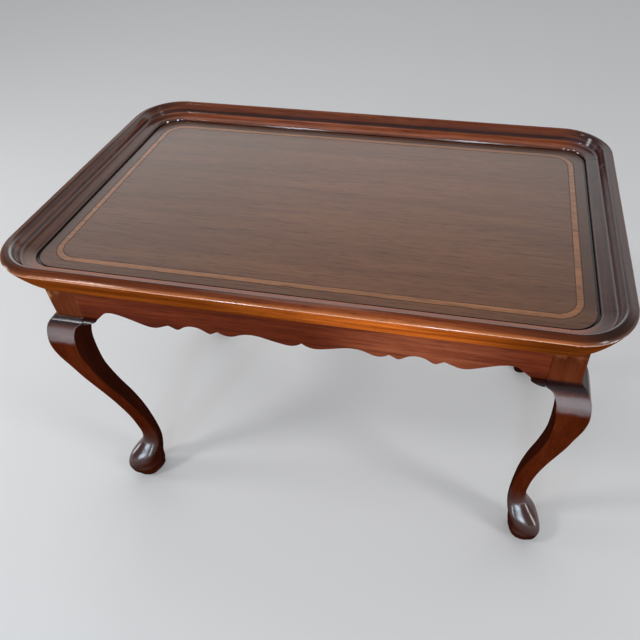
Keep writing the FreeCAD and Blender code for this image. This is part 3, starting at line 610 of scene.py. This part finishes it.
def foot_rows(points, edges):
    """Level, middle and reach of each outline, from the floor to where the leg is cut."""
    pad_top = points[points[:, 2] > FLOOR_MARGIN, 2].min()
    levels = np.arange(pad_top + PAD_MARGIN, LEG_CUT, RING_STEP)
    outlines = [outline_at(points, edges, level) for level in levels]
    middles = np.array([middle for middle, _ in outlines])
    reaches = np.array([reach for _, reach in outlines])
    soft = eased_rows(eased_rows(reaches.T, EASED_ROUND, True).T, EASED_UP, False)
    soft_middles = eased_rows(middles, EASED_UP, False)
    blend_top = LEG_CUT - BLEND_MARGIN
    share = np.clip((blend_top - levels) / (blend_top - EASED_BELOW), 0, 1)
    share = (share * share * (3 - 2 * share))[:, None]
    reaches += (soft - reaches) * share
    middles += (soft_middles - middles) * share
    pad_middle, pad_reach = outline_at(points, edges, pad_top / 2)
    pad_reach = eased_rows(pad_reach[:, None], EASED_ROUND, True)[:, 0]
    rows = [(0.0, pad_middle, pad_reach), (pad_top, pad_middle, pad_reach)]
    return rows + list(zip(levels, middles, reaches))


def leg_with_smooth_foot(node):
    """A new mesh for one leg: its own post, knee and shank, and a rounded foot."""
    source = nodes[node].data
    points = np.array([corner.co for corner in source.vertices])
    edges = np.array([edge.vertices for edge in source.edges])
    rows = foot_rows(points, edges)

    shape = bmesh.new()
    shape.from_mesh(source)
    bmesh.ops.remove_doubles(shape, verts=shape.verts, dist=WELD)
    everything = shape.verts[:] + shape.edges[:] + shape.faces[:]
    bmesh.ops.bisect_plane(
        shape, geom=everything, plane_co=(0, 0, LEG_CUT), plane_no=(0, 0, 1), clear_inner=True
    )
    cut = [edge for edge in shape.edges if edge.is_boundary]
    rings = []
    for level, middle, reach in rows:
        across = middle[0] + reach * np.cos(DIRECTIONS)
        along = middle[1] + reach * np.sin(DIRECTIONS)
        rings.append([shape.verts.new((x, y, level)) for x, y in zip(across, along)])
    for low, high in zip(rings, rings[1:]):
        for index in range(len(low)):
            after = (index + 1) % len(low)
            shape.faces.new((low[index], low[after], high[after], high[index]))
    shape.faces.new(reversed(rings[0]))
    top = rings[-1]
    foot_top = [shape.edges.get((top[index - 1], top[index])) for index in range(len(top))]
    bmesh.ops.bridge_loops(shape, edges=cut + foot_top)
    bmesh.ops.recalc_face_normals(shape, faces=shape.faces)
    for face in shape.faces:
        face.smooth = True
    mesh = bpy.data.meshes.new(node + "_shape")
    shape.to_mesh(mesh)
    shape.free()
    mesh.set_sharp_from_angle(angle=SHARP_ANGLE)
    made = bpy.data.objects.new(node + "_shaped", mesh)
    collection.objects.link(made)
    made.modifiers.new("normals", "WEIGHTED_NORMAL").keep_sharp = True
    return made


# Dark, middle and light tones of each wood and of the screws
MAHOGANY_APRON = (0.09, 0.016, 0.004), (0.145, 0.027, 0.007), (0.21, 0.048, 0.014)
MAHOGANY_LEG = (0.058, 0.0095, 0.0024), (0.08, 0.0135, 0.0036), (0.105, 0.02, 0.0055)
SATINWOOD = (0.24, 0.088, 0.027), (0.31, 0.117, 0.036), (0.37, 0.142, 0.046)
DARK_LINE = (0.07, 0.026, 0.012), (0.095, 0.035, 0.015), (0.12, 0.045, 0.019)
SECONDARY = (0.24, 0.13, 0.06), (0.32, 0.19, 0.09), (0.4, 0.25, 0.13)
STEEL = (0.3, 0.28, 0.25), (0.35, 0.33, 0.3), (0.4, 0.38, 0.35)
WORN_ORANGE = (0.4, 0.13, 0.04)


def material_for(node, seed):
    """Material of one node, chosen by its name."""
    kind = node.split("_")[0]
    axis = "Y" if node.endswith(("left", "right")) and node.count("_") == 1 else "X"
    if node == "tray_panel":
        return panel_wood("panel_wood")
    if kind == "inlay":
        return wood("inlay_wood", "X", seed, SATINWOOD, 0.24, 0.5, WORN_ORANGE)
    if kind == "stringing":
        return wood(f"line_{node}", "X", seed, DARK_LINE, 0.24, 0.5, DARK_LINE[2])
    if kind == "rim":
        return bpy.data.materials.get("rim_wood") or rim_wood("rim_wood")
    if kind == "apron":
        return wood(
            f"wood_{node}", axis, seed, MAHOGANY_APRON, 0.38, 0.02, WORN_ORANGE,
            pores=0.45, is_front=node == "apron_front",
        )
    if kind == "leg":
        return wood(
            f"wood_{node}", "Z", seed, MAHOGANY_LEG, 0.28, 0.0, WORN_ORANGE,
            coat=0.9, arris=LEG_ARRIS, pores=0.25, is_leg=True,
        )
    if kind == "knee":
        return wood(
            f"wood_{node}", "X", seed, MAHOGANY_LEG, 0.28, 0.0, WORN_ORANGE,
            coat=0.7, pores=0.3, is_leg=True,
        )
    if "screws" in node:
        return wood(f"steel_{node}", "Z", seed, STEEL, 0.4, 0.5, STEEL[2])
    return wood(f"wood_{node}", axis, seed, SECONDARY, 0.6, 0.3, SECONDARY[2])


for seed, node in enumerate(nodes):
    made = material_for(node, seed)
    mesh = nodes[node].data
    mesh.materials.clear()
    mesh.materials.append(made)
    if node.startswith("leg"):
        leg = leg_with_smooth_foot(node)
        leg.data.materials.append(made)
        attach(leg, "root")
        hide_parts(node)

# Floor
FLOOR_HALF = 6.0
FLOOR_CORNERS = [(-1, -1), (1, -1), (1, 1), (-1, 1)]

floor_mesh = bpy.data.meshes.new("floor")
floor_points = [(x * FLOOR_HALF, y * FLOOR_HALF, 0) for x, y in FLOOR_CORNERS]
floor_mesh.from_pydata(floor_points, [], [(0, 1, 2, 3)])
floor = bpy.data.objects.new("floor", floor_mesh)
collection.objects.link(floor)
floor_material, floor_tree = new_material("floor")
floor_tree.surface("BsdfDiffuse", {"Color": (0.8, 0.8, 0.8, 1)})
floor_mesh.materials.append(floor_material)

# Lamps: name, place, what it faces, width and height, watts, colour
COOL, WINDOW, WHITE = (0.84, 0.97, 1.1), (0.84, 1.0, 1.16), (1, 1, 1)
LAMPS = [
    ("front_floor", (0.65, -1.36, 0.03), (0.65, -1.359, 1.0), (2.8, 1.6), 25.0, COOL),
    ("front_floor_left", (-1.35, -1.36, 0.03), (-1.35, -1.359, 1.0), (1.2, 1.6), 5.0, COOL),
    ("window_left", (-0.85, -2.2, 0.48), (-0.3, 0, 0.1), (0.2, 0.85), 8.0, WINDOW),
    ("window_right", (0.1, -2.2, 0.48), (0.3, 0, 0.1), (0.18, 0.85), 8.5, WINDOW),
    ("overhead_back", (-0.6, 0.5, 2.4), (0, 0, 0.4), (0.7, 0.7), 2.6, WHITE),
    ("overhead_left", (-1.5, -1.0, 2.2), (0, 0, 0.4), (0.36, 0.36), 11.0, WHITE),
    ("overhead_right", (1.5, -0.6, 1.9), (0, 0, 0.4), (0.25, 0.25), 3.0, WHITE),
    ("side_left", (-2.2, -0.3, 0.65), (0, 0, 0.3), (0.4, 1.2), 12.0, WHITE),
    ("side_right", (2.2, -0.9, 0.65), (0, 0, 0.3), (0.4, 1.2), 13.0, WHITE),
]

for name, location, target, size, power, colour in LAMPS:
    data = bpy.data.lights.new(name, "AREA")
    data.shape = "RECTANGLE"
    data.size, data.size_y = size
    data.energy = power
    data.color = colour
    lamp = bpy.data.objects.new(name, data)
    lamp.location = location
    lamp.rotation_mode = "QUATERNION"
    lamp.rotation_quaternion = (Vector(target) - Vector(location)).to_track_quat("-Z", "Y")
    collection.objects.link(lamp)

# Surroundings: a wide soft glow behind the table, a third of the way up, more to the left
PLAIN_STRENGTH, GLOW_STRENGTH = 0.33, 1.62
LEFT_SHARE, RIGHT_SHARE = 0.94, 0.68
SKY_COLOUR = (0.96, 0.98, 1.0, 1)

world = bpy.data.worlds.new("studio")
bpy.context.scene.world = world
world.use_nodes = True
sky = Tree(world.node_tree)
background = sky.nodes["Background"]
direction = sky.split(sky.node("TexCoord").outputs["Generated"])
glow = sky.times(
    sky.soft_step(direction[2], -0.3, 0.5),
    sky.soft_step(direction[2], 0.82, 0.45),
    sky.soft_step(direction[1], 0.1, 0.8),
)
leftward = sky.soft_step(direction[0], 0.35, -0.25)
share = sky.scaled(leftward, LEFT_SHARE - RIGHT_SHARE, RIGHT_SHARE)
strength = sky.scaled(sky.times(glow, share), GLOW_STRENGTH, PLAIN_STRENGTH)
sky.links.new(strength, background.inputs["Strength"])
background.inputs["Color"].default_value = SKY_COLOUR

bpy.context.scene.view_settings.view_transform = "Standard"
